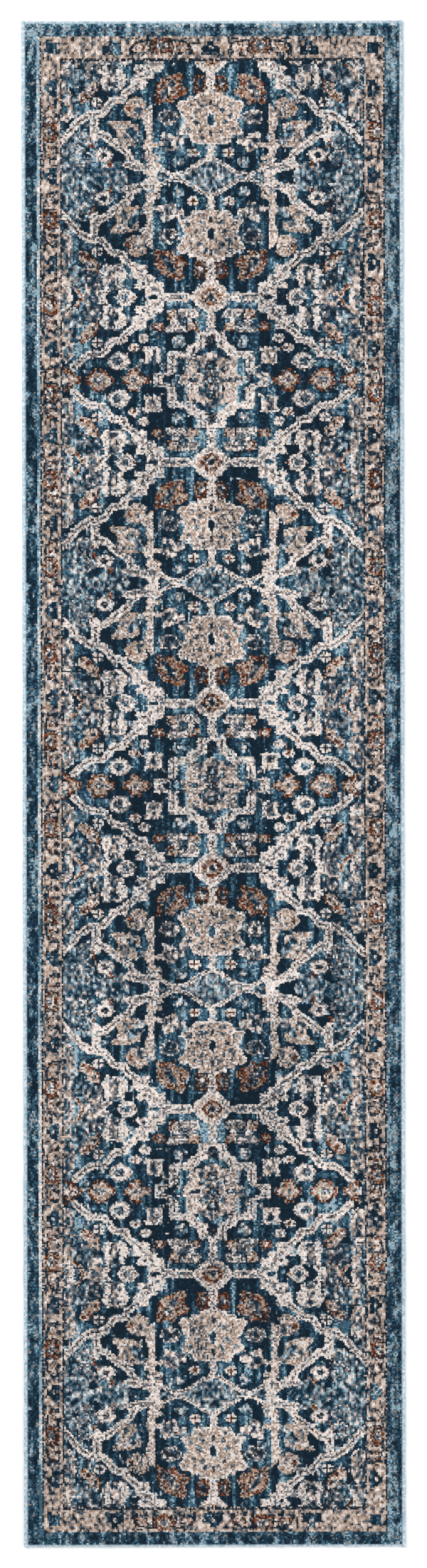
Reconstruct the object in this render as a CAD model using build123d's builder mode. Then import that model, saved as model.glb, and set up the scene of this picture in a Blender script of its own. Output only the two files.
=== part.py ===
"""Runner rug: a woven ground cloth with a latex back, a cut pile in figures, and serged edges.

Millimetres. +X across the rug, +Y along it, +Z up. The origin is the middle of the underside.

The figures are drawn for one quarter of a repeat: x is counted outwards from the rug's centre line
and y from the middle of a star. A quarter is mirrored both ways into a repeat, and the repeats are
laid end to end and trimmed to the field.
"""
import math
import os

from build123d import *

os.makedirs("parts", exist_ok=True)

# Overall sizes
rug_width = 610.0
rug_length = 2438.0

# Heights above the floor
coating_thickness = 0.4
weft_height = 1.2
stuffer_height = 0.6
pile_height = 6.6

# Ground cloth
weft_pitch = 24.0
stuffer_width = 4.0
stuffer_pitch = 20.0

# Serged edges
side_serging_width = 7.0
end_serging_width = 5.0
serging_height = 6.0
serging_round = 2.2
edge_cord_radius = 1.3
yarn_end_radius = 0.8
yarn_end_length = 9.0
yarn_end_inset = 4.0

# Bands of the border, counted inwards from the long edge
pale_guard_start = 25.0
dark_guard_start = 28.5
tan_border_start = 31.0
inner_guard_start = 62.0
field_start = 65.5

# Bands of the border, counted inwards from the end
end_tan_border_start = 25.0
end_inner_guard_start = 60.0
end_field_start = 64.5

# Repeats of the figures
repeat = 648.0
lattice_y = 133.0
side_border_repeat = 138.8
end_border_repeat = 157.0

# Sizes of the figures that can be set by themselves
vine_width = 12.5
stem_width = 14.0
white_flower_radius = 10.0
grey_flower_radius = 10.5
border_ring_radius = 14.0
border_ring_wall = 4.0
border_crown_room = 20.0
border_ring_room = 50.0
corner_block = 17.0
drawn_band_width = 31.0  # the border figures are drawn for this width, and grow with the band

# Worked out from the sizes above
lower_weft_z = coating_thickness
stuffer_z = lower_weft_z + weft_height
upper_weft_z = stuffer_z + stuffer_height
pile_z = upper_weft_z + weft_height
cloth_width = rug_width - 2 * side_serging_width
cloth_length = rug_length - 2 * end_serging_width
border_width = rug_width - 2 * tan_border_start
border_length = rug_length - 2 * end_tan_border_start
inner_guard_width = rug_width - 2 * inner_guard_start
inner_guard_length = rug_length - 2 * end_inner_guard_start
field_width = rug_width - 2 * field_start
field_length = rug_length - 2 * end_field_start
band_width = inner_guard_start - tan_border_start
end_band_width = end_inner_guard_start - end_tan_border_start
band_fit = band_width / drawn_band_width
pile_plane = Plane.XY.offset(pile_z)
lattice_plane = Plane((0, lattice_y, 0), z_dir=(0, 1, 0))
far_cells = math.ceil((field_length / 2 - repeat / 2) / repeat)
cell_places = [(0, cell * repeat) for cell in range(-far_cells, far_cells + 1)]


def keep(part, name):
    """Labels a finished piece and writes its STEP file."""
    part.part.label = name
    export_step(part.part, f"parts/{name}.step", write_pcurves=False)


def lay(quarter):
    """Adds a quarter's figure to the sketch in hand, in each quarter of each repeat of the field."""
    with BuildSketch(mode=Mode.PRIVATE) as cell:
        add(quarter)
        mirror(about=Plane.YZ)
        mirror(about=Plane.XZ)
    with Locations(*cell_places):
        add(cell.sketch)
    Rectangle(field_width, field_length, mode=Mode.INTERSECT)


def less(sketch, *above):
    """A quarter's figure without the figures that are woven in front of it."""
    with BuildSketch(mode=Mode.PRIVATE) as rest:
        add(sketch)
        for other in above:
            add(other, mode=Mode.SUBTRACT)
    return rest.sketch


# ---------------------------------------------------------------- ground cloth and backing
with BuildPart() as latex_back_coating:
    Box(cloth_width, cloth_length, coating_thickness, align=(Align.CENTER, Align.CENTER, Align.MIN))
keep(latex_back_coating, "latex_back_coating")

weft_count = int((cloth_length - weft_height) // weft_pitch)
for name, weft_z in (("lower_wefts", lower_weft_z), ("upper_wefts", upper_weft_z)):
    with BuildPart() as wefts:
        with BuildSketch(Plane.YZ.offset(-cloth_width / 2)):
            with Locations((0, weft_z + weft_height / 2)):
                with GridLocations(weft_pitch, 1, weft_count, 1):
                    Circle(weft_height / 2)
        extrude(amount=cloth_width)
    keep(wefts, name)

stuffer_count = int((cloth_width - stuffer_width) // stuffer_pitch)
with BuildPart() as stuffer_warps:
    with BuildSketch(Plane.XY.offset(stuffer_z)):
        with GridLocations(stuffer_pitch, 1, stuffer_count, 1):
            Rectangle(stuffer_width, cloth_length)
    extrude(amount=stuffer_height)
keep(stuffer_warps, "stuffer_warps")

# ---------------------------------------------------------------- pile of the border bands
with BuildPart() as pile_navy_surround:
    with BuildSketch(pile_plane):
        Rectangle(cloth_width, cloth_length)
        Rectangle(border_width, border_length, mode=Mode.SUBTRACT)
        for side in (-1, 1):
            guard_middle = (pale_guard_start + tan_border_start) / 2
            with Locations((side * (rug_width / 2 - guard_middle), 0)):
                Rectangle(tan_border_start - pale_guard_start, border_length, mode=Mode.SUBTRACT)
    extrude(amount=pile_height)
keep(pile_navy_surround, "pile_navy_surround")

guards = (
    ("pile_pale_guard_lines", pale_guard_start, dark_guard_start),
    ("pile_dark_guard_lines", dark_guard_start, tan_border_start),
)
for name, guard_outside, guard_inside in guards:
    with BuildPart() as guard_lines:
        with BuildSketch(pile_plane):
            for side in (-1, 1):
                with Locations((side * (rug_width - guard_outside - guard_inside) / 2, 0)):
                    Rectangle(guard_inside - guard_outside, border_length)
        extrude(amount=pile_height)
    keep(guard_lines, name)

with BuildPart() as pile_inner_guard:
    with BuildSketch(pile_plane):
        Rectangle(inner_guard_width, inner_guard_length)
        Rectangle(field_width, field_length, mode=Mode.SUBTRACT)
    extrude(amount=pile_height)
keep(pile_inner_guard, "pile_inner_guard")

# The border's figures are drawn with x inwards across the band, from its middle, and y along it.
with BuildSketch() as border_crown:
    Polygon((-9, -4), (-4, -12), (9, -12), (9, 12), (-4, 12), (-9, 4))
    scale(by=band_fit)

with BuildSketch() as border_ring_outline:
    RegularPolygon(radius=border_ring_radius, side_count=8, rotation=22.5)
    scale(by=band_fit)

with BuildSketch() as border_ring_heart:
    RegularPolygon(radius=border_ring_radius - border_ring_wall, side_count=8, rotation=22.5)
    scale(by=band_fit)

with BuildSketch() as border_leaf:
    Polygon((-11, 16), (-4, 16), (-2, 30), (10, 40), (8, 44), (-8, 36))
    mirror(about=Plane.XZ)
    scale(by=band_fit)

band_x = rug_width / 2 - tan_border_start - band_width / 2
band_y = rug_length / 2 - end_tan_border_start - end_band_width / 2
corner_places = [(side * band_x, end * band_y) for side in (-1, 1) for end in (-1, 1)]


def along_band(pitch, shift, reach):
    """Places along a band, both ways from its middle, a pitch apart and within its reach."""
    steps = int(reach // pitch) + 1
    places = [(step + shift) * pitch for step in range(-steps, steps + 1)]
    return [place for place in places if abs(place) <= reach]


def border_spots(shift, room):
    """Locations on the four bands, each turned so that its x points into the rug."""
    side_places = along_band(side_border_repeat, shift, inner_guard_length / 2 - room)
    end_places = along_band(end_border_repeat, shift, inner_guard_width / 2 - room)
    spots = [Location((-band_x, y, 0), (0, 0, 0)) for y in side_places]
    spots += [Location((band_x, y, 0), (0, 0, 180)) for y in side_places]
    spots += [Location((x, -band_y, 0), (0, 0, 90)) for x in end_places]
    spots += [Location((x, band_y, 0), (0, 0, -90)) for x in end_places]
    return spots


crown_spots = border_spots(0, border_crown_room * band_fit)
ring_spots = border_spots(0.5, border_ring_room * band_fit)

with BuildPart() as pile_border_crowns:
    with BuildSketch(pile_plane):
        with Locations(*crown_spots):
            add(border_crown.sketch)
        with Locations(*corner_places):
            Rectangle(corner_block * band_fit, corner_block * band_fit)
    extrude(amount=pile_height)
keep(pile_border_crowns, "pile_border_crowns")

with BuildPart() as pile_border_rings:
    with BuildSketch(pile_plane):
        with Locations(*ring_spots):
            add(border_ring_outline.sketch)
        with Locations(*ring_spots):
            add(border_ring_heart.sketch, mode=Mode.SUBTRACT)
    extrude(amount=pile_height)
keep(pile_border_rings, "pile_border_rings")

with BuildPart() as pile_border_ring_hearts:
    with BuildSketch(pile_plane):
        with Locations(*ring_spots):
            add(border_ring_heart.sketch)
    extrude(amount=pile_height)
keep(pile_border_ring_hearts, "pile_border_ring_hearts")

with BuildPart() as pile_border_leaves:
    with BuildSketch(pile_plane):
        with Locations(*ring_spots):
            add(border_leaf.sketch)
    extrude(amount=pile_height)
keep(pile_border_leaves, "pile_border_leaves")

with BuildPart() as pile_tan_border:
    with BuildSketch(pile_plane):
        Rectangle(border_width, border_length)
        Rectangle(inner_guard_width, inner_guard_length, mode=Mode.SUBTRACT)
        with Locations(*crown_spots):
            add(border_crown.sketch, mode=Mode.SUBTRACT)
        with Locations(*corner_places):
            Rectangle(corner_block * band_fit, corner_block * band_fit, mode=Mode.SUBTRACT)
        with Locations(*ring_spots):
            add(border_ring_outline.sketch, mode=Mode.SUBTRACT)
        with Locations(*ring_spots):
            add(border_leaf.sketch, mode=Mode.SUBTRACT)
    extrude(amount=pile_height)
keep(pile_tan_border, "pile_tan_border")

# ---------------------------------------------------------------- figures of the field, by quarter
with BuildSketch() as star_fill:
    Polygon((0, 0), (60, 0), (58, 6), (41, 14), (41, 36), (14, 39), (0, 46))

with BuildSketch() as star_frame:
    Polygon(
        (77, 0), (92, 0), (91, 14), (70, 14), (69, 45), (40, 45), (24, 61), (22, 77), (0, 77),
        (0, 72), (9, 66), (9, 51), (19, 50), (32, 37), (54, 37), (54, 14),
    )

with BuildSketch() as diamond_ring:
    Polygon((0, 118), (16, 133), (0, 148))

with BuildSketch() as diamond:
    Polygon((0, 106), (33, 133), (0, 160))

with BuildSketch() as stem:
    Polygon((0, 70), (stem_width / 2, 70), (stem_width / 2, 293), (0, 293))

with BuildSketch() as arrow_link:
    Polygon(
        (26, 127), (75, 127), (76, 108), (88, 107), (89, 97), (101, 96), (101, 82), (118, 82),
        (125, 99), (115, 106), (120, 119), (103, 119), (100, 130), (82, 133), (26, 133),
    )
    mirror(about=lattice_plane)

with BuildSketch() as vine:
    with BuildLine():
        Polyline((112, 92), (139, 66), (156, 62), (172, 41), (193, 40), (217, 22))
    trace(line_width=vine_width)
    mirror(about=lattice_plane)
    Polygon((196, 220), (205, 222), (240, 258), (240, 272))

with BuildSketch() as vine_branch:
    with BuildLine():
        Polyline((183, 222), (183, 256), (139, 281), (125, 302))
    trace(line_width=vine_width)

with BuildSketch() as rosette:
    Polygon(
        (0, 190), (20, 190), (21, 199), (37, 205), (53, 205), (53, 213), (40, 231), (50, 255),
        (35, 256), (28, 270), (0, 270),
    )

with BuildSketch() as boteh:
    Polygon((45, 164), (78, 170), (89, 186), (89, 209), (60, 209), (38, 192))

with BuildSketch() as trunk:
    Polygon((92, 213), (104, 213), (104, 304), (92, 304), (92, 276), (80, 271), (92, 268))

with BuildSketch() as bottom_arm:
    Polygon((82, 306), (88, 298), (134, 298), (142, 306), (108, 316), (98, 324), (88, 324))

with BuildSketch() as axis_palmette:
    Polygon((97, 0), (103, 9), (113, 20), (130, 20), (141, 0))
    Polygon((155, 0), (167, 20), (188, 20), (198, 0))

with BuildSketch() as large_flower:
    Polygon((134, 90), (141, 80), (167, 80), (177, 92), (170, 113), (145, 112))
    mirror(about=lattice_plane)

with BuildSketch() as ring_diamond:
    Polygon((118, 133), (128, 119), (142, 119), (153, 133), (142, 147), (128, 147))

with BuildSketch() as chevron:
    Polygon((158, 120), (180, 122), (180, 144), (158, 146), (168, 133))

with BuildSketch() as white_flower:
    with Locations((115, 58), (28, 285)):
        RegularPolygon(radius=white_flower_radius, side_count=6)

with BuildSketch() as grey_flower:
    with Locations((51, 60), (51, 300)):
        RegularPolygon(radius=grey_flower_radius, side_count=6)

with BuildSketch() as leaf_palmette:
    Polygon((114, 241), (130, 234), (160, 234), (149, 253), (152, 266), (138, 278), (108, 274))

with BuildSketch() as heart_palmette:
    Polygon((104, 210), (118, 196), (139, 214), (122, 231), (104, 229))

with BuildSketch() as hook_leaf:
    Polygon((42, 263), (66, 254), (78, 254), (80, 276), (61, 285), (42, 273))

with BuildSketch() as diagonal_leaf:
    Polygon((178, 80), (205, 58), (212, 70), (180, 93))
    mirror(about=lattice_plane)

with BuildSketch() as side_leaf:
    Polygon((219, 36), (240, 32), (240, 80), (226, 80), (218, 60))
    mirror(about=lattice_plane)

# The figures from the front one back, each with its piece's name.
field_figures = (
    ("pile_star_fills", star_fill),
    ("pile_star_frames", star_frame),
    ("pile_diamond_rings", diamond_ring),
    ("pile_diamonds", diamond),
    ("pile_arrow_links", arrow_link),
    ("pile_rosettes", rosette),
    ("pile_stems", stem),
    ("pile_large_flowers", large_flower),
    ("pile_ring_diamonds", ring_diamond),
    ("pile_chevrons", chevron),
    ("pile_vines", vine),
    ("pile_vine_branches", vine_branch),
    ("pile_trunks", trunk),
    ("pile_bottom_arms", bottom_arm),
    ("pile_white_flowers", white_flower),
    ("pile_grey_flowers", grey_flower),
    ("pile_botehs", boteh),
    ("pile_axis_palmettes", axis_palmette),
    ("pile_leaf_palmettes", leaf_palmette),
    ("pile_heart_palmettes", heart_palmette),
    ("pile_hook_leaves", hook_leaf),
    ("pile_diagonal_leaves", diagonal_leaf),
    ("pile_side_leaves", side_leaf),
)

with BuildSketch() as quarter_ground:
    Rectangle(field_width / 2, repeat / 2, align=(Align.MIN, Align.MIN))

figures_in_front = []
for name, figure in field_figures:
    figure_alone = less(figure.sketch, *figures_in_front)
    with BuildPart() as figure_pile:
        with BuildSketch(pile_plane):
            lay(figure_alone)
        extrude(amount=pile_height)
    keep(figure_pile, name)
    figures_in_front.append(figure.sketch)

with BuildPart() as pile_navy_field:
    with BuildSketch(pile_plane):
        lay(less(quarter_ground.sketch, *figures_in_front))
    extrude(amount=pile_height)
keep(pile_navy_field, "pile_navy_field")

# ---------------------------------------------------------------- serged edges
side_cord_x = rug_width / 2 - side_serging_width / 2
end_cord_y = rug_length / 2 - end_serging_width / 2


def serging_section(place, width, side):
    """A serged edge's section: flat towards the cloth, round outside, sewn round its cord."""
    with BuildSketch(mode=Mode.PRIVATE) as section:
        with Locations((side * place, serging_height / 2)):
            Rectangle(width, serging_height)
            outer_corners = section.vertices().sort_by(Axis.X)
            outer_corners = outer_corners[-2:] if side > 0 else outer_corners[:2]
            fillet(outer_corners, radius=serging_round)
        with Locations((side * place, serging_height / 2)):
            Circle(edge_cord_radius, mode=Mode.SUBTRACT)
    return section.sketch


for name, side in (("left", -1), ("right", 1)):
    with BuildPart() as side_serging:
        with BuildSketch(Plane.XZ.offset(-rug_length / 2)):
            add(serging_section(side_cord_x, side_serging_width, side))
        extrude(amount=rug_length)
    keep(side_serging, f"serging_{name}")
    with BuildPart() as side_cord:
        with BuildSketch(Plane.XZ.offset(-rug_length / 2)):
            with Locations((side * side_cord_x, serging_height / 2)):
                Circle(edge_cord_radius)
        extrude(amount=rug_length)
    keep(side_cord, f"edge_cord_{name}")

for name, side in (("near_end", -1), ("far_end", 1)):
    with BuildPart() as end_serging:
        with BuildSketch(Plane.YZ.offset(-cloth_width / 2)):
            add(serging_section(end_cord_y, end_serging_width, side))
        extrude(amount=cloth_width)
    keep(end_serging, f"serging_{name}")
    with BuildPart() as end_cord:
        with BuildSketch(Plane.YZ.offset(-cloth_width / 2)):
            with Locations((side * end_cord_y, serging_height / 2)):
                Circle(edge_cord_radius)
        extrude(amount=cloth_width)
    keep(end_cord, f"edge_cord_{name}")

yarn_end_x = cloth_width / 2 + yarn_end_radius
yarn_end_z = serging_height + yarn_end_radius
with BuildPart() as serging_yarn_ends:
    for side in (-1, 1):
        for end in (-1, 1):
            with BuildSketch(Plane.XZ.offset(-end * (cloth_length / 2 - yarn_end_inset))):
                with Locations((side * yarn_end_x, yarn_end_z)):
                    Circle(yarn_end_radius)
            extrude(amount=end * yarn_end_length)
keep(serging_yarn_ends, "serging_yarn_ends")
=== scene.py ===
# %% [markdown]
# # A runner rug in cut pile
# A machine-woven runner is a stack of separate things: a latex coat underneath, two layers of jute
# weft with stiff warps between them, a cut pile of coloured yarns, and a serged edge sewn round a
# cord. The frame holds each of them as a plain solid. This script keeps the hidden ones, gives them
# their real finish, and makes the ones that show again: every tuft of the pile, every wrap of the
# serging, and the ribbed back.

# %% Load the frame
import math

import bpy
import numpy as np
from mathutils import Matrix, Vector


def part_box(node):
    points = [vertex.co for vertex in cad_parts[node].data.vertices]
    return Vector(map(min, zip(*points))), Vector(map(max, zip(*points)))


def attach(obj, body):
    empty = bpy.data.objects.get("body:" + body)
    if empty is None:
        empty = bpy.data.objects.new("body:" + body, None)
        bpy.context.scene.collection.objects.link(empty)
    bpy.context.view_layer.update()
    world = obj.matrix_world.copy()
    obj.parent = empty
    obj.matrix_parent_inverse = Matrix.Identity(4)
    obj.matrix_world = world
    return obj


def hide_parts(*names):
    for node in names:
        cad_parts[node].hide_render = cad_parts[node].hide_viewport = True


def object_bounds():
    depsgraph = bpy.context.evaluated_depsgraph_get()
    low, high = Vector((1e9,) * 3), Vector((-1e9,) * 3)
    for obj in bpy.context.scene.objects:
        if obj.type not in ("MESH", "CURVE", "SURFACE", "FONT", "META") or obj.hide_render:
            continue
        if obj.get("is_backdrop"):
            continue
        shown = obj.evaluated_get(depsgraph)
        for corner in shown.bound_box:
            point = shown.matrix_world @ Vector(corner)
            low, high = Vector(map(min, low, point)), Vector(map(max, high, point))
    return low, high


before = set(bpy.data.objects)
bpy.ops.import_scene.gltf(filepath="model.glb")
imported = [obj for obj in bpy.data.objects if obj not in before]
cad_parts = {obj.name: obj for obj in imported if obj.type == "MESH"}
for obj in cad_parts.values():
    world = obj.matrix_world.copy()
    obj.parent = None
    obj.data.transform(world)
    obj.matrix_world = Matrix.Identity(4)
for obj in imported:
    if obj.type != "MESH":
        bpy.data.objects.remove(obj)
cad_low, cad_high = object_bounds()
cad_box = [list(cad_low), list(cad_high)]
bpy.ops.object.select_all(action="DESELECT")
print("nodes in the frame:", len(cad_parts))

# %% [markdown]
# ## Sizes
# The places come from the frame's own boxes. What the frame doesn't hold, such as the size of one
# tuft, is set here in millimetres and turned to metres where it is used.

# %% Sizes read from the frame
MM = 0.001
cloth_low, cloth_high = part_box("latex_back_coating")
pile_low, pile_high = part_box("pile_navy_surround")
cloth_width = cloth_high.x - cloth_low.x
cloth_length = cloth_high.y - cloth_low.y
rug_width = cad_high.x - cad_low.x
rug_length = cad_high.y - cad_low.y
pile_foot = pile_low.z
pile_top = pile_high.z
print(f"cloth {cloth_width:.3f} x {cloth_length:.3f} m, pile {pile_foot:.4f} to {pile_top:.4f} m")

# %% [markdown]
# ## Camera
# The rug is seen from straight above. A long lens a few metres up keeps its edges straight and
# shows no side of the pile but the top.

# %% The camera above the rug
camera_distance = 6.0
camera_roll = math.radians(-0.114)
frame_length = 2.507
film_size = 36.0

bpy.ops.object.camera_add(
    location=(0, 0, camera_distance), rotation=(0, 0, camera_roll)
)
camera = bpy.context.object
camera.data.sensor_width = film_size
camera.data.lens = film_size * camera_distance / frame_length
bpy.context.scene.camera = camera
print(f"lens {camera.data.lens:.1f} mm")

# %% [markdown]
# ## Floor and light
# A plain white floor and two large soft lamps stand in for a studio. Large lamps close together
# give shadows so soft that only the gaps between tufts stay dark, which is how a pile is read.

# %% White floor, soft lamps and a pale sky
floor_size = 14.0
floor_gap = 0.3 * MM
bpy.ops.mesh.primitive_grid_add(
    x_subdivisions=8, y_subdivisions=8, size=floor_size, location=(0, 0, -floor_gap)
)
floor = bpy.context.object
floor.name = "studio_floor"
floor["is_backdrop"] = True

for lamp_name, place, size, power in (
    ("key_lamp", (-2.2, 1.6, 3.6), 2.6, 125.0),
    ("fill_lamp", (2.4, -1.4, 3.8), 3.2, 92.0),
):
    bpy.ops.object.light_add(type="AREA", location=place)
    lamp = bpy.context.object
    lamp.name = lamp_name
    lamp.data.size = size
    lamp.data.energy = power
    lamp.rotation_euler = (-lamp.location).to_track_quat("-Z", "Y").to_euler()

sky = bpy.data.worlds.new("pale_sky")
sky.use_nodes = True
sky.node_tree.nodes["Background"].inputs["Color"].default_value = (1, 1, 1, 1)
sky.node_tree.nodes["Background"].inputs["Strength"].default_value = 0.55
bpy.context.scene.world = sky
bpy.context.scene.view_settings.view_transform = "Standard"

# %% [markdown]
# ## Colour and node helpers
# Colours are written as sRGB hex values, as a paint or yarn card gives them, and Blender's shaders
# want linear numbers, so one function turns them. Another adds a node, sets it and links it.


# %% Helpers for colours and nodes
def linear(hex_colour, strength=1.0):
    """An sRGB hex colour as the linear numbers that a shader wants."""
    channels = [int(hex_colour[i : i + 2], 16) / 255 for i in (1, 3, 5)]
    bent = [c / 12.92 if c <= 0.04045 else ((c + 0.055) / 1.055) ** 2.4 for c in channels]
    return [min(1.0, c * strength) for c in bent] + [1.0]


def add_node(material, kind, links=(), **settings):
    """Adds a node. Settings name its sockets or its own properties; links name socket and source."""
    node = material.node_tree.nodes.new(kind)
    for key, value in settings.items():
        socket_name = key.replace("_", " ")
        if hasattr(node, key):
            setattr(node, key, value)
        else:
            node.inputs[socket_name].default_value = value
    for socket, source in links:
        material.node_tree.links.new(source, node.inputs[socket])
    return node


def new_material(name, colour, roughness):
    """A named material with its base colour and roughness, and its shader."""
    material = bpy.data.materials.new(name)
    material.use_nodes = True
    material.diffuse_color = linear(colour)
    shader = material.node_tree.nodes["Principled BSDF"]
    shader.inputs["Base Color"].default_value = linear(colour)
    shader.inputs["Roughness"].default_value = roughness
    return material, shader


def join(material, source, socket):
    """Links an output to a socket."""
    material.node_tree.links.new(source, socket)


def noise(material, size, detail, **settings):
    """A noise in the object's own space, whose patches have about this size."""
    place = add_node(material, "ShaderNodeTexCoord")
    return add_node(material, "ShaderNodeTexNoise", [("Vector", place.outputs["Object"])],
                    Scale=1 / size, Detail=detail, **settings).outputs["Fac"]


def roughen(material, shader, height, strength, distance):
    """Bumps a surface by a height."""
    bump = add_node(material, "ShaderNodeBump", [("Height", height)],
                    Strength=strength, Distance=distance)
    join(material, bump.outputs["Normal"], shader.inputs["Normal"])


def two_tone(material, shader, value, dark_stop, light_stop):
    """Colours a surface between two colours by a value. Each stop is a position and a colour."""
    ramp = add_node(material, "ShaderNodeValToRGB", [("Fac", value)])
    for stop, (position, colour) in zip(ramp.color_ramp.elements, (dark_stop, light_stop)):
        stop.position = position
        stop.color = linear(colour)
    join(material, ramp.outputs["Color"], shader.inputs["Base Color"])


# Painted board: plain white, no gloss.
floor_paint, floor_shader = new_material("studio_floor_paint", "#FAFAFA", 0.9)
floor_shader.inputs["Specular IOR Level"].default_value = 0.1
floor.data.materials.append(floor_paint)

# %% [markdown]
# ## Pile yarn
# The pile is heat-set polypropylene, cut level. Each yarn is dyed before it is woven, so one tuft
# has one colour, but tufts lean and open differently, which makes each one a bit lighter or darker
# in the light. That light and shade is painted into the yarn's colour: a painted shade is kept on
# each tuft, and a noise as fine as its fibres adds more.

# %% Pile yarns
fibre_size = 0.9 * MM
painted_shade_contrast = 0.55

yarn_colours = {
    "deep_navy": "#08202F",
    "navy": "#1A374A",
    "teal_blue": "#3F6376",
    "pale_blue": "#8DA6B2",
    "cream": "#D6CDC8",
    "sand": "#BCABA0",
    "tan": "#9C8371",
    "rust": "#7A4022",
    "brown": "#3A2015",
    "grey": "#827C7A",
    "slate": "#4E5A66",
    "charcoal": "#2B2B30",
}


def pile_yarn(name, colour):
    """Cut polypropylene yarn: matt; its colour is painted a little bright at the cut ends and darker
    between fibres, as painted highlight and painted shade.
    """
    material, shader = new_material(f"polypropylene_pile_{name}", colour, 0.62)
    shader.inputs["Specular IOR Level"].default_value = 0.12
    shader.inputs["Sheen Weight"].default_value = 0.04
    shader.inputs["Sheen Roughness"].default_value = 0.5
    fibres = noise(material, 2 * fibre_size, 2.0)
    # The tuft's painted shade and the fibre noise together lighten and darken the yarn's colour, as
    # painted highlight and painted shade.
    tone = add_node(material, "ShaderNodeAttribute", attribute_name="tuft_tone")
    mixed = add_node(
        material, "ShaderNodeMath",
        [(0, tone.outputs["Fac"]), (1, fibres)], operation="ADD",
    )
    spread = add_node(
        material, "ShaderNodeMapRange", [("Value", mixed.outputs[0])],
        From_Min=0.2, From_Max=1.8, To_Min=1 - painted_shade_contrast, To_Max=1 + painted_shade_contrast,
    )
    toned = add_node(
        material, "ShaderNodeVectorMath", [("Scale", spread.outputs["Result"])],
        operation="SCALE",
    )
    toned.inputs[0].default_value = linear(colour)[:3]
    join(material, toned.outputs[0], shader.inputs["Base Color"])
    roughen(material, shader, fibres, 0.35, 0.3 * MM)
    return material


yarn_names = list(yarn_colours)
pile_yarns = [pile_yarn(name, colour) for name, colour in yarn_colours.items()]
print("pile yarns:", len(pile_yarns))

# %% [markdown]
# ## Point paper
# A carpet designer draws each figure on squared paper, where a square is a tuft. The same is done
# here. A quarter of the repeat is drawn once, with x counted outwards from the rug's centre line and
# y from the middle of a star, both in millimetres. Each square gets a shade and the name of the
# piece it belongs to. Later figures cover earlier ones.

# %% The point paper and its shapes
shades = (
    "ground", "void", "wash", "cream", "line", "tan", "mottled", "rust", "grey", "dark", "slate",
    "edge", "edge_wash", "pale_line", "dark_line", "sand", "blush", "band", "haze", "umber",
    "dusk", "ember",
)
pieces = sorted(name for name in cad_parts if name.startswith("pile_"))


class PointPaper:
    """Squared paper: every square holds a shade and a piece."""

    square = 0.5

    def __init__(self, wide, tall, shade, piece):
        across = np.arange(self.square / 2, wide, self.square)
        along = np.arange(self.square / 2, tall, self.square)
        self.x, self.y = np.meshgrid(across, along)
        self.shade = np.full(self.x.shape, shades.index(shade))
        self.piece = np.full(self.x.shape, pieces.index(piece))

    def inside(self, *outline):
        """The squares inside a closed outline."""
        found = np.zeros(self.x.shape, bool)
        for (x0, y0), (x1, y1) in zip(outline, outline[1:] + outline[:1]):
            if y0 != y1:
                crosses = (y0 > self.y) != (y1 > self.y)
                found ^= crosses & (self.x < x0 + (x1 - x0) * (self.y - y0) / (y1 - y0))
        return found

    def along(self, width, *path):
        """The squares within half a width of a path."""
        found = np.zeros(self.x.shape, bool)
        for (x0, y0), (x1, y1) in zip(path, path[1:]):
            run, rise = x1 - x0, y1 - y0
            step = (self.x - x0) * run + (self.y - y0) * rise
            step = np.clip(step / (run * run + rise * rise), 0, 1)
            found |= np.hypot(self.x - x0 - step * run, self.y - y0 - step * rise) < width / 2
        return found

    def oval(self, x, y, wide, tall=None):
        """The squares in an oval of these half sizes."""
        return np.hypot((self.x - x) / wide, (self.y - y) / (tall or wide)) < 1

    def draw(self, squares, shade, piece=None):
        """Colours squares, and gives them to a piece if one is named."""
        self.shade[squares] = shades.index(shade)
        if piece:
            self.piece[squares] = pieces.index("pile_" + piece)

    def paint(self, squares, shade, piece, mirrored):
        """Draws squares, and their mirror image in the line through the diamonds if asked."""
        self.draw(both(squares) if mirrored else squares, shade, piece)

    def fill(self, shade, *outline, piece=None, mirrored=False):
        """Fills a closed outline."""
        self.paint(self.inside(*outline), shade, piece, mirrored)

    def stroke(self, shade, width, *path, piece=None, mirrored=False):
        """Draws a line of some width along a path."""
        self.paint(self.along(width, *path), shade, piece, mirrored)

    def spot(self, shade, x, y, wide, tall=None, piece=None, mirrored=False):
        """Draws an oval of these half sizes."""
        self.paint(self.oval(x, y, wide, tall), shade, piece, mirrored)

    def read(self, x, y):
        """Shade and piece at places given in millimetres."""
        column = np.clip((x / self.square).astype(int), 0, self.x.shape[1] - 1)
        row = np.clip((y / self.square).astype(int), 0, self.x.shape[0] - 1)
        return self.shade[row, column], self.piece[row, column]


repeat = 648.0
lattice_y = 133.0
field = PointPaper(240, repeat / 2, "ground", "pile_navy_field")


def both(squares):
    """Squares of the field and their mirror image in the line through the diamonds."""
    rows = int(2 * lattice_y / field.square)
    mirrored = squares.copy()
    mirrored[:rows] |= squares[:rows][::-1]
    return mirrored


print("squares drawn:", field.x.size)

# %% [markdown]
# ## Ground of the field
# The navy ground is streaked with teal where the design asks for a lighter void, and it is washed
# paler towards the long sides, as on rugs woven to look old.

# %% Voids and washes of the ground
field.fill("void", (8, 78), (20, 80), (20, 108), (14, 110), (8, 108))
field.fill("haze", (200, 85), (222, 82), (222, 112), (200, 112), mirrored=True)
field.fill("dusk", (176, 96), (200, 92), (204, 120), (174, 122), mirrored=True)
field.fill("ground", (145, 284), (153, 288), (158, 308), (147, 310), (141, 297))
field.fill("void", (176, 46), (218, 40), (218, 60), (196, 56), mirrored=True)
field.fill("haze", (120, 92), (134, 92), (134, 104), (120, 104), mirrored=True)
field.fill("slate", (146, 108), (164, 108), (160, 121), (148, 121), mirrored=True)
field.fill("void", (160, 24), (200, 24), (196, 32), (168, 32))
field.fill("mottled", (222, 84), (237, 84), (237, 182), (222, 182))
field.fill("haze", (192, 253), (206, 250), (222, 262), (238, 284), (238, 324), (196, 324),
           (186, 300), (198, 280))
field.fill("haze", (138, 300), (240, 300), (240, 324), (130, 324))
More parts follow.
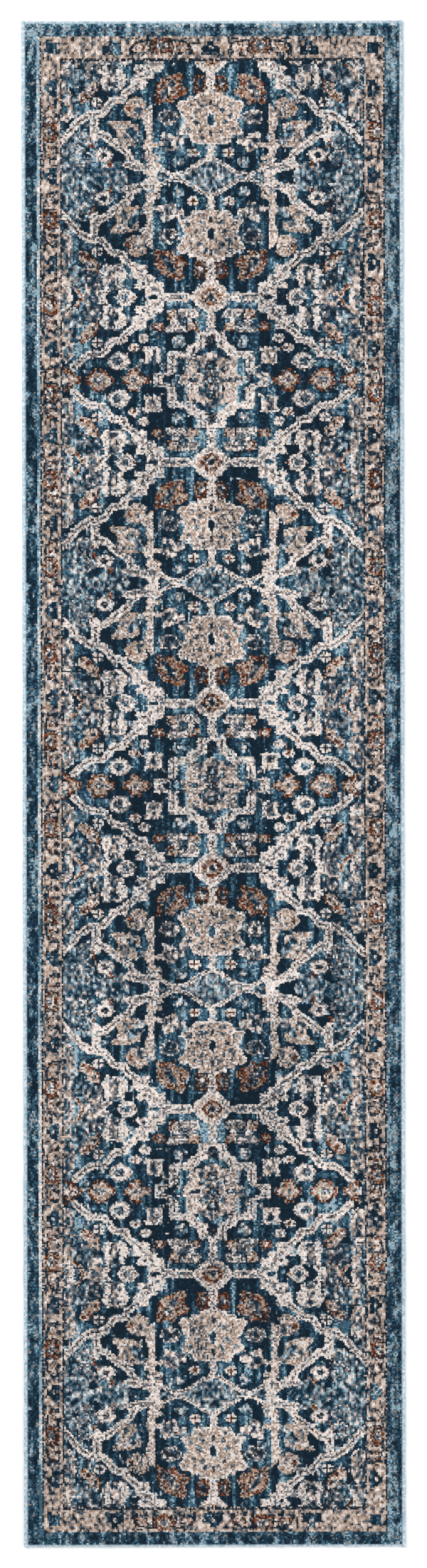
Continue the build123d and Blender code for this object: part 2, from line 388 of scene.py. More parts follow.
field.fill("ground", (170, 300), (188, 300), (200, 313), (190, 317), (174, 308))
field.fill("haze", (0, 294), (14, 300), (42, 318), (96, 322), (96, 324), (0, 324))
field.fill("haze", (34, 246), (50, 246), (52, 262), (34, 262))
field.fill("void", (8, 274), (24, 270), (22, 292), (8, 292))
field.fill("void", (40, 274), (54, 276), (54, 290), (40, 290))
field.fill("void", (29, 150), (34, 146), (34, 200), (29, 196))
field.fill("void", (40, 222), (50, 224), (54, 250), (46, 250))
field.fill("void", (100, 182), (122, 182), (122, 194), (100, 192))
field.fill("void", (26, 114), (44, 118), (72, 118), (72, 124), (36, 124))

# %% [markdown]
# ## Star, stems, diamonds and arrows
# These sit on the centre line and hold the design together: a stepped star, stems that run from
# it, a diamond where the stems meet, and a two-headed arrow that links the diamond to the vines.

# %% Star
field.fill("void", (0, 50), (10, 42), (20, 40), (28, 40), (22, 51), (9, 52), (0, 52),
           piece="star_frames")
field.fill("cream", (92, 0), (91, 14), (70, 14), (69, 42), (66, 47), (41, 47), (36, 56), (24, 61),
           (22, 77), (0, 77), (0, 73), (8, 68), (9, 52), (19, 50), (26, 41), (32, 37), (50, 37),
           (55, 34), (56, 15), (62, 10), (76, 5), (77, 0), piece="star_frames")
field.draw(
    field.along(2.4, (84, 0), (84, 8), (66, 11), (61, 15), (61, 38))
    | field.along(2.4, (31, 43), (28, 48), (25, 55)) | field.along(2.4, (16, 56), (16, 74)),
    "line",
)
field.fill("mottled", (0, 0), (62, 0), (58, 6), (54, 14), (53, 36), (41, 37), (24, 38), (14, 40),
           (8, 44), (0, 47), piece="star_fills")
field.fill("blush", (16, 4), (48, 3), (40, 13), (38, 32), (24, 33), (20, 24), (12, 10))
field.fill("void", (43, 9), (54, 8), (52, 36), (43, 36))
field.stroke("pale_line", 2.2, (41, 15), (41, 37))
field.fill("wash", (50, 0), (60, 0), (58, 6), (51, 9))
field.fill("slate", (5, 5), (12, 4), (13, 14), (5, 16))
field.draw(field.along(3.4, (8, 0), (0, 9)) | field.oval(28, 0, 8, 4), "dark")
field.draw(field.oval(3.5, 25.5, 5.6, 8) | field.oval(19, 17, 2.4, 5), "dark")
field.draw(field.oval(28, 0, 3.6, 3) | field.oval(0, 24, 3.4, 4) | field.oval(14, 17, 3, 4.6), "wash")
field.spot("wash", 0, 0, 3, 4)
field.fill("dark", (0, 54), (7, 54), (7, 69), (0, 73))

# %% Stems
field.fill("cream", (0, 77), (6.6, 77), (6.6, 107), (0, 107), piece="stems")
field.fill("cream", (0, 160), (6.6, 160), (6.6, 190), (0, 190), piece="stems")
field.fill("cream", (0, 271), (6, 271), (6, 293), (0, 293), piece="stems")
field.draw(field.along(1.8, (0, 80), (0, 106)) | field.along(1.8, (0, 161), (0, 190)), "line")

# %% Diamond
field.fill("cream", (0, 105), (8, 109), (20, 117), (34, 133), (22, 149), (12, 157), (8, 161),
           (0, 162), piece="diamonds")
field.fill("blush", (0, 110), (18, 120), (29, 133), (18, 146), (0, 157))
field.fill("rust", (0, 117), (10, 123), (18, 133), (8, 146), (0, 149), piece="diamond_rings")
field.fill("tan", (0, 122), (7, 126), (12, 133), (6, 141), (0, 144))
field.spot("dark", 0, 133.5, 4.4, 6)
field.spot("dark", 7.5, 129, 2, 2.6)

# %% Arrows
arrow = field.inside((30, 130), (37, 125.5), (75, 125.5), (76, 108), (88, 107), (89, 98), (101, 96),
                     (101, 82), (110, 80), (127, 88), (125, 99), (115, 105), (121, 112), (120, 119),
                     (104, 119), (103, 130), (103, 133), (30, 133))
field.draw(both(arrow), "cream", "arrow_links")
arrow_core = field.along(5, (38, 133), (72, 133), (86, 121), (98, 117), (99, 104), (109, 101),
                         (112, 90))
field.draw(both(arrow_core) | field.along(7.5, (40, 133), (76, 133)), "grey")
field.spot("slate", 48, 132, 4, 2.6)
field.spot("ground", 92, 133, 8.4, 3.6)
field.spot("dark", 108, 111, 3, 2.4, mirrored=True)

# %% [markdown]
# ## Vines, trunks and bottom arms
# A cream vine with a grey line down its middle steps outwards from each arrow and back in again,
# and a branch turns off it. A blush trunk stands between, and a wavy arm closes the repeat.

# %% Vines and branches
vine = [(112, 91), (126, 81), (137, 73), (139, 65), (156, 63), (163, 54), (172, 43), (193, 42),
        (205, 34), (219, 22)]
field.stroke("cream", 11.6, *vine, piece="vines", mirrored=True)
lower_vine = [(193, 226), (210, 236), (225, 254), (240, 268)]
field.stroke("cream", 11.6, *lower_vine, piece="vines")
branch = [(184.5, 228), (184.5, 253), (168, 258), (152, 272), (139, 281), (131, 287), (126, 299),
          (118, 302)]
field.stroke("cream", 12, *branch, piece="vine_branches")
field.stroke("cream", 14, branch[0], (184.5, 262), piece="vine_branches")
field.stroke("line", 2.8, *vine, mirrored=True)
field.draw(field.along(2.8, *lower_vine) | field.along(2.8, *branch), "line")

# %% Trunk and bottom arm
trunk = [(92, 208), (100, 213), (106, 222), (108, 232), (104, 246), (101, 256), (104, 266),
         (114, 265), (108, 276), (103, 284), (104, 298), (92, 300), (90, 296), (80, 298), (80, 291),
         (91, 287), (92, 277), (80, 277), (78, 268), (92, 271), (93, 255), (92, 240), (92, 225)]
field.fill("blush", *trunk, piece="trunks")
arm = [(83, 300), (94, 296), (103, 303), (116, 301), (134, 298), (143, 306), (130, 312),
       (108, 316), (98, 324), (84, 324)]
field.fill("cream", *arm, piece="bottom_arms")
field.stroke("grey", 6, (92, 308), (108, 309), (134, 305))
wavy_line = field.along(6.5, (0, 294), (14, 299), (42, 318), (62, 321), (84, 309))
field.draw(wavy_line, "cream", "bottom_arms")
field.stroke("line", 2, (4, 295), (14, 299), (42, 318), (62, 321), (80, 311))
field.spot("tan", 83, 305, 4.5, 4)

# %% [markdown]
# ## Flowers, leaves and palmettes
# The rest fills the ground. Each has a heart of another yarn, because a flower of one shade would
# read as a hole in the design.

# %% Rosette
rosette = [(0, 190), (8, 191), (20, 192), (21, 199), (33, 198), (37, 205), (48, 204), (53, 211),
           (46, 220), (46, 226), (40, 231), (43, 242), (50, 254), (35, 256), (28, 269), (10, 270),
           (0, 271)]
field.fill("tan", *rosette, piece="rosettes")
field.stroke("cream", 3.6, *rosette)
field.draw(field.oval(12, 208, 8, 5) | field.oval(30, 224, 5, 8) | field.oval(16, 262, 7, 4), "mottled")
for x, y, half_size in ((18, 217, 3.6), (23, 237, 4.2), (16, 251, 3.4), (36, 248, 3.4), (30, 210, 2.6)):
    field.spot("slate", x, y, half_size)
field.spot("cream", 0, 233, 8, 13)
field.spot("ground", 0, 233, 5, 10)
field.draw(field.oval(0, 255, 2.6, 5) | field.oval(0, 205, 2.4, 5), "dark")

# %% Botehs, the bent leaves with a rust edge
boteh = [(43, 163), (50, 160), (66, 165), (78, 170), (84, 178), (88, 186), (89, 209), (78, 208),
         (72, 204), (60, 209), (57, 200), (46, 197), (38, 192), (38, 184), (45, 181)]
field.fill("ember", *boteh, piece="botehs")
field.fill("umber", (70, 196), (88, 190), (89, 208), (76, 207))
field.fill("dusk", (56, 172), (64, 174), (74, 186), (79, 192), (79, 201), (72, 199), (62, 188),
           (57, 180))
for bar in (((46, 168), (50, 181)), ((41, 184), (41, 192)), ((47, 191), (49, 199)),
            ((85, 181), (86, 206)), ((52, 166), (70, 170)), ((62, 207), (72, 204))):
    field.stroke("rust", 3.4, *bar)
field.draw(field.along(2.4, (54, 170), (60, 173)) | field.oval(68, 195, 3, 3), "dark")
bud = field.inside((8, 164), (24, 163), (27, 172), (26, 190), (16, 192), (7, 188), (6, 174))
field.draw(bud & ~field.oval(16, 176, 5, 7), "umber", "botehs")
field.spot("dusk", 16, 176, 5, 7, piece="botehs")

# %% Small flowers
field.fill("tan", (20, 78), (38, 77), (38, 92), (22, 92), piece="white_flowers")
field.draw(field.along(3, (21, 79), (24, 90)) | field.along(3, (24, 79), (37, 79)), "rust")
field.fill("tan", (52, 99), (70, 97), (71, 112), (56, 114), piece="white_flowers")
field.draw(field.along(3, (62, 98), (70, 102)) | field.along(3, (69, 104), (60, 113)), "rust")
field.fill("grey", (40, 77), (70, 75), (74, 80), (66, 90), (54, 92), (40, 88), piece="grey_flowers")
field.stroke("cream", 3, (42, 84), (54, 83), (68, 79))
field.fill("grey", (19, 99), (34, 98), (52, 105), (52, 114), (22, 115), piece="grey_flowers")
field.stroke("cream", 3, (20, 104), (26, 112), (46, 112))
field.draw(field.oval(33, 95, 4.6, 3.6) | field.oval(58, 94.5, 6, 3.6), "cream", "grey_flowers")
field.spot("slate", 45, 94, 7, 7.6)
field.fill("rust", (75, 80), (84, 77), (93, 79), (94, 90), (84, 93), (76, 91), piece="white_flowers")
field.spot("tan", 84, 85, 4, 5)
for x, y, wide, tall, shade, heart in (
    (51, 61, 11, 9.5, "haze", "cream"), (122, 52.5, 9.5, 6.5, "cream", "rust"),
    (107, 67, 9, 7, "cream", "grey"), (180.5, 60.5, 9.5, 7.5, "cream", "dark"),
    (180.5, 205.5, 9.5, 7.5, "cream", "dark"), (28.5, 285.5, 9.5, 7.5, "cream", "rust"),
    (51.5, 300.5, 10.5, 8.5, "haze", "cream"),
):
    piece = "white_flowers" if shade == "cream" else "grey_flowers"
    field.spot(shade, x, y, wide, tall, piece=piece)
    field.spot(heart, x, y, wide * 0.32, tall * 0.32)
    if heart != "cream":
        cross = field.along(1.6, (x - wide * 0.8, y), (x + wide * 0.8, y))
        field.draw(cross | field.along(1.6, (x, y - tall), (x, y + tall)), heart)
for outline, x, y, wide, shade, heart in (
    (((128, 31), (136, 21), (147, 19), (158, 22), (164, 31), (158, 41), (145, 46), (135, 41)),
     148.5, 32, 8, "cream", "slate"),
    (((154, 288), (162, 280), (176, 279), (184, 288), (180, 298), (164, 302)), 170, 289.5, 5.5,
     "cream", "dark"),
    (((186, 292), (198, 283), (212, 283), (220, 294), (212, 306), (196, 306)), 199, 294.5, 6,
     "haze", "slate"),
    (((50, 229), (56, 220), (68, 218), (80, 221), (83, 230), (76, 239), (60, 240)), 68, 229, 5,
     "dusk", "dark"),
    (((190, 266), (194, 256), (204, 254), (213, 260), (214, 270), (206, 278), (194, 276)), 202, 266,
     6, "haze", "slate"),
):
    field.fill(shade, *outline, piece="grey_flowers")
    field.stroke("grey", 2.4, *outline, outline[0])
    field.spot(heart, x, y, wide, wide * 0.85)
field.fill("cream", (77, 53), (80, 47), (79, 30), (88, 27), (106, 28), (104, 45), (110, 48),
           (106, 54), piece="white_flowers")
field.fill("mottled", (86, 28), (99, 28), (99, 50), (86, 50))
field.spot("dusk", 92, 42, 4, 6)
field.stroke("grey", 3.4, (70, 22), (76, 24), (81, 30), piece="white_flowers")
field.fill("sand", (218, 218), (232, 212), (240, 216), (240, 226), (226, 230), piece="white_flowers")

# %% Large flowers, ring diamonds and chevrons on the outer lattice line
large_flower = [(134, 90), (140, 81), (150, 80), (160, 83), (167, 80), (177, 92), (172, 101),
                (170, 113), (160, 112), (152, 109), (145, 112), (133, 101)]
field.fill("cream", *large_flower, piece="large_flowers", mirrored=True)
field.stroke("grey", 2.6, *large_flower[1:5], mirrored=True)
field.draw(both(field.along(8, (144, 86), (144, 114)) | field.along(8, (167, 84), (167, 116))),
           "cream", "large_flowers")
field.fill("dusk", (148, 84), (163, 84), (163, 118), (148, 114), mirrored=True)
field.spot("mottled", 155, 100, 4, 8, mirrored=True)
ring = field.inside((118, 133), (127, 121), (141, 118), (153, 133), (141, 148), (127, 145))
field.draw(ring, "cream", "ring_diamonds")
field.spot("grey", 137, 133, 10.5, 10)
field.spot("cream", 137, 133, 8, 7.6)
field.spot("slate", 137, 133, 6, 5.6)
field.spot("rust", 122, 133, 2.6, 3)
field.fill("cream", (158, 120), (180, 122), (180, 144), (158, 146), (168, 133), piece="chevrons")
field.stroke("line", 2, (163, 123), (174, 126), (174, 140), (163, 143))
star = field.inside((176, 133), (178, 123), (190, 118), (198, 119), (200, 125), (206, 127),
                    (204, 133))
field.draw(both(star), "mottled", "chevrons")
field.spot("slate", 190, 133, 5, 8)
field.stroke("tan", 7, (206, 131), (212, 120), (228, 108), mirrored=True)
field.stroke("rust", 3, (205, 131), (211, 119), (220, 112), mirrored=True)
field.fill("cream", (219, 133), (221, 120), (230, 111), (236, 112), (226, 121), (225, 133),
           piece="side_leaves", mirrored=True)
field.spot("slate", 232, 132, 4, 7, piece="side_leaves")

# %% Palmettes and leaves
field.fill("rust", (97, 0), (97, 3), (103, 9), (113, 10), (112, 19), (118, 22), (130, 20), (133, 10),
           (141, 6), (141, 0), piece="axis_palmettes")
field.fill("tan", (101, 0), (106, 5), (116, 9), (118, 17), (126, 16), (129, 7), (135, 4), (136, 0))
field.spot("slate", 122, 0, 3, 5)
field.fill("rust", (155, 0), (155, 7), (163, 10), (167, 18), (175, 21), (188, 20), (192, 12),
           (198, 8), (198, 0), piece="axis_palmettes")
field.fill("tan", (158, 0), (160, 5), (167, 9), (171, 16), (184, 16), (189, 8), (193, 0))
field.spot("slate", 179, 0, 7.5, 6)
field.spot("cream", 179, 0, 3, 3)
field.fill("rust", (206, 0), (206, 6), (214, 9), (222, 17), (236, 24), (232, 10), (226, 0),
           piece="side_leaves")
field.fill("tan", (212, 0), (212, 4), (220, 8), (230, 16), (226, 6), (222, 0))
field.fill("cream", (226, 0), (237, 0), (237, 8), (230, 8), piece="side_leaves")
leaf_palmette = [(114, 241), (130, 235), (160, 234), (160, 240), (152, 246), (149, 253), (152, 266),
                 (138, 279), (122, 277), (108, 274), (120, 258), (114, 252)]
field.fill("tan", *leaf_palmette, piece="leaf_palmettes")
field.stroke("haze", 13, (112, 268), (128, 250))
field.spot("mottled", 140, 262, 8, 10)
field.spot("cream", 142, 244, 7, 3.5)
heart = [(104, 213), (102, 203), (118, 196), (132, 203), (139, 216), (134, 225), (122, 231),
         (104, 229)]
field.fill("tan", *heart, piece="heart_palmettes")
field.spot("mottled", 113, 220, 7, 8)
field.spot("rust", 130, 215, 3.4, 5)
field.draw(field.oval(108, 252, 5, 12) | field.oval(113, 288, 10, 9.5), "ground")
field.fill("mottled", (42, 263), (58, 259), (66, 254), (78, 252), (79, 266), (80, 276), (72, 281),
           (61, 285), (55, 280), (53, 273), (42, 273), piece="hook_leaves")
field.fill("dusk", (58, 262), (76, 264), (75, 274), (68, 280), (60, 278))
field.draw(field.oval(46, 268, 4, 5) | field.oval(58, 270, 3.4, 6) | field.oval(64, 259, 4, 4)
           | field.oval(75, 257, 3.4, 6), "cream")
field.stroke("rust", 3, (190, 264), (184, 284))
field.draw(field.oval(188, 274, 3.4, 2.4) | field.oval(160, 304, 3.6, 6), "rust")
leaf = field.inside((178, 79), (195, 62), (206, 58), (212, 64), (210, 73), (200, 79), (197, 88),
                    (180, 93))
field.draw(both(leaf), "tan", "diagonal_leaves")
field.draw(both(field.along(3.6, (179.5, 80), (180.5, 92)) | field.along(3, (182, 77), (195, 65))),
           "rust")
field.draw(both(field.oval(197, 70, 4, 4) | field.oval(205, 64, 3.4, 3)), "rust")
field.spot("dark", 187, 82, 3, 3, mirrored=True)
side_leaf = [(219, 45), (222, 36), (230, 30), (240, 32), (240, 80), (226, 82), (220, 72), (218, 60)]
field.fill("mottled", *side_leaf, piece="side_leaves", mirrored=True)
field.stroke("cream", 2.6, *side_leaf[:3], mirrored=True)
field.draw(both(field.oval(230, 48, 4, 6) | field.oval(229, 70, 4, 5)), "haze")
field.spot("dark", 234, 58, 2.6, 4, mirrored=True)

# %% [markdown]
# ## Border
# The border band repeats a crown and a ring between leaves. Half a repeat is drawn, with x counted
# inwards across the band and y from the middle of a crown. The corners hold a plain navy block.

# %% Border figures
band_width = 31.0
side_period = 138.8
end_period = 157.0
band = PointPaper(band_width, side_period / 2, "band", "pile_tan_border")
band.draw(band.inside((10, 0), (14, 12), (26, 14), (26, 0)) | band.inside((6, 0), (6, 4.5), (11, 4.5),
                      (11, 0)), "ground", "border_crowns")
band.fill("slate", (22, 2), (23, 9), (25, 9), (25, 2), piece="border_crowns")
band.spot("grey", 16, 0, 3, 4)
band.stroke("dark", 3.2, (5, 58), (7, 38), (11, 30), (19, 26), (26, 25), piece="border_leaves")
band.draw(band.oval(23, 28, 4, 4) | band.oval(24.5, 43, 3.6, 4.5), "dark", "border_leaves")
band.fill("rust", (10, 31), (19, 29), (20, 45), (11, 47), piece="border_leaves")
band.spot("tan", 15, 38, 4, 6)
band.spot("cream", 15, 51, 3, 2.6)
band.stroke("dark", 2.4, (3, 26), (3, 38))
band.fill("rust", (3, 60), (7, 55), (18, 54), (25, 58), (25, 70), (3, 70), piece="border_rings")
band.stroke("dark", 2.4, (4, 56), (16, 52.5), (26, 56))
band.spot("grey", 12.5, 69.4, 5.6, 9.5, piece="border_ring_hearts")
band.spot("slate", 12.5, 69.4, 2.4, 4)
crown_reach = 20.0
ring_reach = 50.0
corner_block = 17.0
corner_from_side = 48.5
corner_from_end = 43.5

# %% [markdown]
# ## Tufts
# The real pile has a tuft about every millimetre and a half. Here a tuft is 2.5 mm wide, which is
# as fine as the finished model can carry, and still fine enough to draw every figure. Each tuft
# looks up its shade on the paper. A little wander makes the edges of the figures ragged, as cut
# yarn is.

# %% Where each tuft stands
tuft_width = 2.5
tufts_across = round(cloth_width / MM / tuft_width)
tufts_along = round(cloth_length / MM / tuft_width)
pitch_x = cloth_width / MM / tufts_across
pitch_y = cloth_length / MM / tufts_along
middle_x = (np.arange(tufts_across) + 0.5) * pitch_x - cloth_width / MM / 2
middle_y = (np.arange(tufts_along) + 0.5) * pitch_y - cloth_length / MM / 2
tuft_x, tuft_y = np.meshgrid(middle_x, middle_y)
print(f"{tufts_across} x {tufts_along} tufts, each {pitch_x:.3f} x {pitch_y:.3f} mm")


def drift(cell_x, cell_y, seed):
    """Smooth random values from 0 to 1 over the tufts; a cell is given in millimetres."""
    steps_x = np.arange(tufts_across) * pitch_x / cell_x
    steps_y = np.arange(tufts_along) * pitch_y / cell_y
    coarse = np.random.default_rng(seed).random((int(steps_y[-1]) + 2, int(steps_x[-1]) + 2))
    column, row = steps_x.astype(int), steps_y.astype(int)
    across = steps_x - column
    up = (steps_y - row)[:, None]
    low = coarse[row][:, column] * (1 - across) + coarse[row][:, column + 1] * across
    high = coarse[row + 1][:, column] * (1 - across) + coarse[row + 1][:, column + 1] * across
    return low * (1 - up) + high * up


def ranked(values):
    """The same values spread evenly from 0 to 1, in the same order."""
    order = values.ravel().argsort().argsort()
    return (order / order.size).reshape(values.shape)


# %% Shade and piece of each tuft
pattern_shift = -2.5
pattern_slide = -2.5
pattern_widening = 0.993
wander = 0.5
pale_guard_start = 25.0
dark_guard_start = 28.5
tan_border_start = 31.0
inner_guard_start = 62.0
field_start = 65.5
end_tan_border_start = 25.0
end_inner_guard_start = 60.0
end_field_start = 64.5
chance = np.random.default_rng(11)
wander_x = chance.normal(0, wander, tuft_x.shape)
wander_y = chance.normal(0, wander, tuft_x.shape)
half_width = rug_width / MM / 2
half_length = rug_length / MM / 2
folded_x = np.abs(tuft_x - pattern_shift)
folded_y = np.abs((tuft_y - pattern_slide + repeat / 2) % repeat - repeat / 2)
# Parts of the repeat are drawn on the paper up to 2.5 mm out of place, so they are read with a slip.
slip_places = (0, 14, 80, 165, 220)
slip = (0, 2.5, 0, 2, 0)
folded_y += np.interp(folded_y, slip_places, slip)
folded_x *= pattern_widening
tuft_shade = field.read(np.abs(folded_x + wander_x), np.abs(folded_y + wander_y))[0]
tuft_piece = field.read(folded_x, folded_y)[1]

from_side = half_width - np.abs(tuft_x)
from_end = half_length - np.abs(tuft_y)


def lay(where, shade, piece):
    """Gives a shade and a piece to the tufts of a band."""
    tuft_shade[where] = shades.index(shade)
    tuft_piece[where] = pieces.index("pile_" + piece)


inner_guard = (from_side < field_start) | (from_end < end_field_start)
lay(inner_guard, "dark_line", "inner_guard")
tan_border = (from_side < inner_guard_start) | (from_end < end_inner_guard_start)
lay(tan_border, "band", "tan_border")


def lay_border(here, inwards, run, period, scale, reach):
    """Reads the border's figures for one band, folded about its crowns and rings."""
    folded = np.abs((run + period / 2) % period - period / 2)
    crown_fits = np.abs(np.round(run / period) * period) <= reach - crown_reach
    ring_at = (np.floor(run / period) + 0.5) * period
    ring_fits = np.abs(ring_at) <= reach - ring_reach
    along = folded * side_period / period
    shade, piece = band.read(np.clip(inwards * scale + wander_x, 0, band_width - 0.1),
                             np.abs(along + wander_y))
    piece = band.read(inwards * scale, along)[1]
    fits = np.where(along < 16, crown_fits, ring_fits) & here
    tuft_shade[fits] = shade[fits]
    tuft_piece[fits] = piece[fits]


past_side = from_side - tan_border_start
past_end = from_end - end_tan_border_start
end_band_width = end_inner_guard_start - end_tan_border_start
on_end = (past_end >= 0) & (past_end < end_band_width) & (from_side >= inner_guard_start)
on_side = (past_side >= 0) & (past_side < band_width) & (from_end >= end_inner_guard_start)
side_reach = half_length - end_inner_guard_start
end_reach = half_width - inner_guard_start
lay_border(on_side, past_side, tuft_y, side_period, 1.0, side_reach)
end_scale = band_width / end_band_width
lay_border(on_end, past_end, tuft_x - pattern_shift, end_period, end_scale, end_reach)
in_corner_x = np.abs(from_side - corner_from_side) < corner_block / 2
in_corner_y = np.abs(from_end - corner_from_end) < corner_block / 2
lay(in_corner_x & in_corner_y, "ground", "border_crowns")

# %% Plain bands outside the border
beside_border = from_end >= end_tan_border_start
lay((from_side < tan_border_start) & beside_border, "dark_line", "dark_guard_lines")
lay((from_side < dark_guard_start) & beside_border, "pale_line", "pale_guard_lines")
lay((from_side < pale_guard_start) | ~beside_border, "edge", "navy_surround")
# The right-hand band and the far one are worn paler, and the very end of the far one palest.
unworn_edge = 12
worn_end = 11
worn_right = (from_side > unworn_edge) & (from_side < dark_guard_start) & (tuft_x > 0)
worn_right &= from_end > unworn_edge
tuft_shade[worn_right | ~beside_border & (tuft_y > 0)] = shades.index("edge_wash")
tuft_shade[(from_end < worn_end) & (tuft_y > 0)] = shades.index("wash")

# %% [markdown]
# ## Yarn of each tuft
# A shade is not one yarn. The loom picks from the yarns it has, and a design that is meant to look
# worn mixes them: streaks of teal in the navy, grey and slate specks in the cream. So each shade
# is a list of yarns with their shares, darkest first, and a tuft picks one by chance. Streaks run
# along the navy ground, because the same yarn comes up again and again along its own line. Worn
# shades clump into small patches, and the plain bands at the edge are combed into short streaks.

# %% Shares of each yarn in a shade
mixes = {
    "ground": {"deep_navy": 0.54, "navy": 0.3, "teal_blue": 0.13, "pale_blue": 0.03},
    "void": {"deep_navy": 0.1, "navy": 0.25, "teal_blue": 0.45, "pale_blue": 0.2},
    "wash": {"navy": 0.2, "teal_blue": 0.36, "pale_blue": 0.34, "cream": 0.1},
    "edge": {"deep_navy": 0.22, "navy": 0.38, "teal_blue": 0.24, "grey": 0.07, "pale_blue": 0.09},
    "edge_wash": {"deep_navy": 0.08, "navy": 0.2, "teal_blue": 0.28, "slate": 0.08, "grey": 0.12,
                  "pale_blue": 0.24},
    "cream": {"slate": 0.04, "grey": 0.14, "sand": 0.12, "pale_blue": 0.05, "cream": 0.65},
    "line": {"charcoal": 0.3, "slate": 0.1, "grey": 0.45, "cream": 0.15},
    "tan": {"navy": 0.05, "slate": 0.06, "grey": 0.14, "tan": 0.24, "sand": 0.33, "cream": 0.18},
    "sand": {"navy": 0.03, "grey": 0.12, "tan": 0.15, "sand": 0.5, "cream": 0.2},
    "band": {"deep_navy": 0.09, "slate": 0.1, "grey": 0.16, "tan": 0.18, "sand": 0.37, "cream": 0.1},
    "blush": {"slate": 0.06, "grey": 0.2, "tan": 0.06, "sand": 0.3, "cream": 0.38},
    "haze": {"deep_navy": 0.1, "navy": 0.16, "teal_blue": 0.16, "slate": 0.13, "grey": 0.19,
             "pale_blue": 0.18, "cream": 0.08},
    "ember": {"navy": 0.08, "brown": 0.16, "rust": 0.18, "grey": 0.18, "tan": 0.24, "sand": 0.16},
    "umber": {"deep_navy": 0.16, "brown": 0.3, "charcoal": 0.16, "rust": 0.16, "grey": 0.12, "tan": 0.1},
    "dusk": {"deep_navy": 0.14, "navy": 0.18, "charcoal": 0.1, "slate": 0.24, "grey": 0.22, "cream": 0.12},
    "mottled": {"navy": 0.14, "slate": 0.14, "grey": 0.28, "tan": 0.07, "sand": 0.2, "cream": 0.17},
    "rust": {"deep_navy": 0.12, "brown": 0.3, "rust": 0.26, "grey": 0.1, "tan": 0.16, "sand": 0.06},
    "grey": {"charcoal": 0.08, "slate": 0.2, "grey": 0.42, "cream": 0.3},
    "dark": {"deep_navy": 0.45, "charcoal": 0.3, "slate": 0.17, "grey": 0.08},
    "slate": {"deep_navy": 0.15, "navy": 0.2, "slate": 0.4, "grey": 0.15, "pale_blue": 0.1},
    "pale_line": {"teal_blue": 0.25, "pale_blue": 0.55, "cream": 0.2},
    "dark_line": {"deep_navy": 0.45, "charcoal": 0.2, "slate": 0.15, "sand": 0.2},
}
streaks = 0.6 * drift(4.5, 34, 21) + 0.4 * drift(10, 60, 22)
specks = chance.random(tuft_x.shape)
clouds = drift(55, 90, 23)
pale_sides = np.clip((np.abs(tuft_x) - 165) / 70, 0, 1) * (from_side > inner_guard_start)
pick_streaked = ranked(ranked(streaks) + 0.55 * specks + 0.35 * clouds)
pick_streaked = np.clip(pick_streaked + 0.2 * pale_sides * clouds, 0, 0.999)
pick_speckled = ranked(specks + 0.35 * clouds)
pick_clumped = ranked(drift(3.4, 5, 25) + 0.25 * specks)
pick_combed = ranked(0.5 * drift(5, 9, 26) + 0.35 * specks + 0.25 * ranked(streaks))

faded_share = 0.04 + 0.26 * pale_sides
clumps = ranked(drift(6, 9, 24))
faded = (clumps < faded_share) & (tuft_piece == pieces.index("pile_navy_field"))
tuft_shade[faded] = shades.index("haze")

tuft_yarn = np.zeros(tuft_x.shape, int)
picks = dict.fromkeys(("ground", "void", "pale_line"), pick_streaked)
picks.update(dict.fromkeys(("haze", "mottled", "dusk", "band"), pick_clumped))
picks.update(dict.fromkeys(("edge", "edge_wash", "wash"), pick_combed))
for number, shade in enumerate(shades):
    here = tuft_shade == number
    pick = picks.get(shade, pick_speckled)
    limits = np.cumsum(list(mixes[shade].values()))
    choice = np.searchsorted(limits / limits[-1], pick[here])
    chosen = [yarn_names.index(name) for name in mixes[shade]]
    tuft_yarn[here] = np.array(chosen)[np.minimum(choice, len(chosen) - 1)]
# A painted shade for each tuft: random, with large soft patches, lighter or darker as the tufts lean and
# open to the light.
tuft_tone = np.clip(0.5 + 0.22 * chance.normal(size=tuft_x.shape) + 0.3 * (clouds - 0.5), 0, 1)
print("tufts of each yarn:", dict(zip(yarn_names, np.bincount(tuft_yarn.ravel()).tolist())))

# %% [markdown]
# ## The pile as cloth
# One grid covers the whole cloth, a face to a tuft. Its faces are sorted by piece and cut apart, so
# that neighbours share every edge with no gap. Each piece is then extruded up to the height of the
# pile, and its top faces are poked, which gives each tuft four sides and a tip. Corners sink and
# tips rise by random amounts looked up by place, so neighbouring pieces still meet.

# %% Grid of the whole cloth, cut into its pieces
bpy.ops.mesh.primitive_grid_add(
    x_subdivisions=tufts_across, y_subdivisions=tufts_along, size=1, location=(0, 0, 0)
)
cloth = bpy.context.object
cloth.name = "pile_cloth"
cloth.data.transform(
    Matrix.Translation((0, 0, pile_foot)) @ Matrix.Diagonal((cloth_width, cloth_length, 1, 1))
)
face_count = len(cloth.data.polygons)
centres = np.zeros(face_count * 3)
cloth.data.polygons.foreach_get("center", centres)
centres = centres.reshape(-1, 3)
column = ((centres[:, 0] + cloth_width / 2) / (pitch_x * MM)).astype(int)
row = ((centres[:, 1] + cloth_length / 2) / (pitch_y * MM)).astype(int)
yarn_layer = cloth.data.attributes.new("tuft_yarn", "INT", "FACE")
yarn_layer.data.foreach_set("value", tuft_yarn[row, column].astype(np.int32))
painted_shade_layer = cloth.data.attributes.new("tuft_tone", "FLOAT", "FACE")
painted_shade_layer.data.foreach_set("value", tuft_tone[row, column].astype(np.float32))

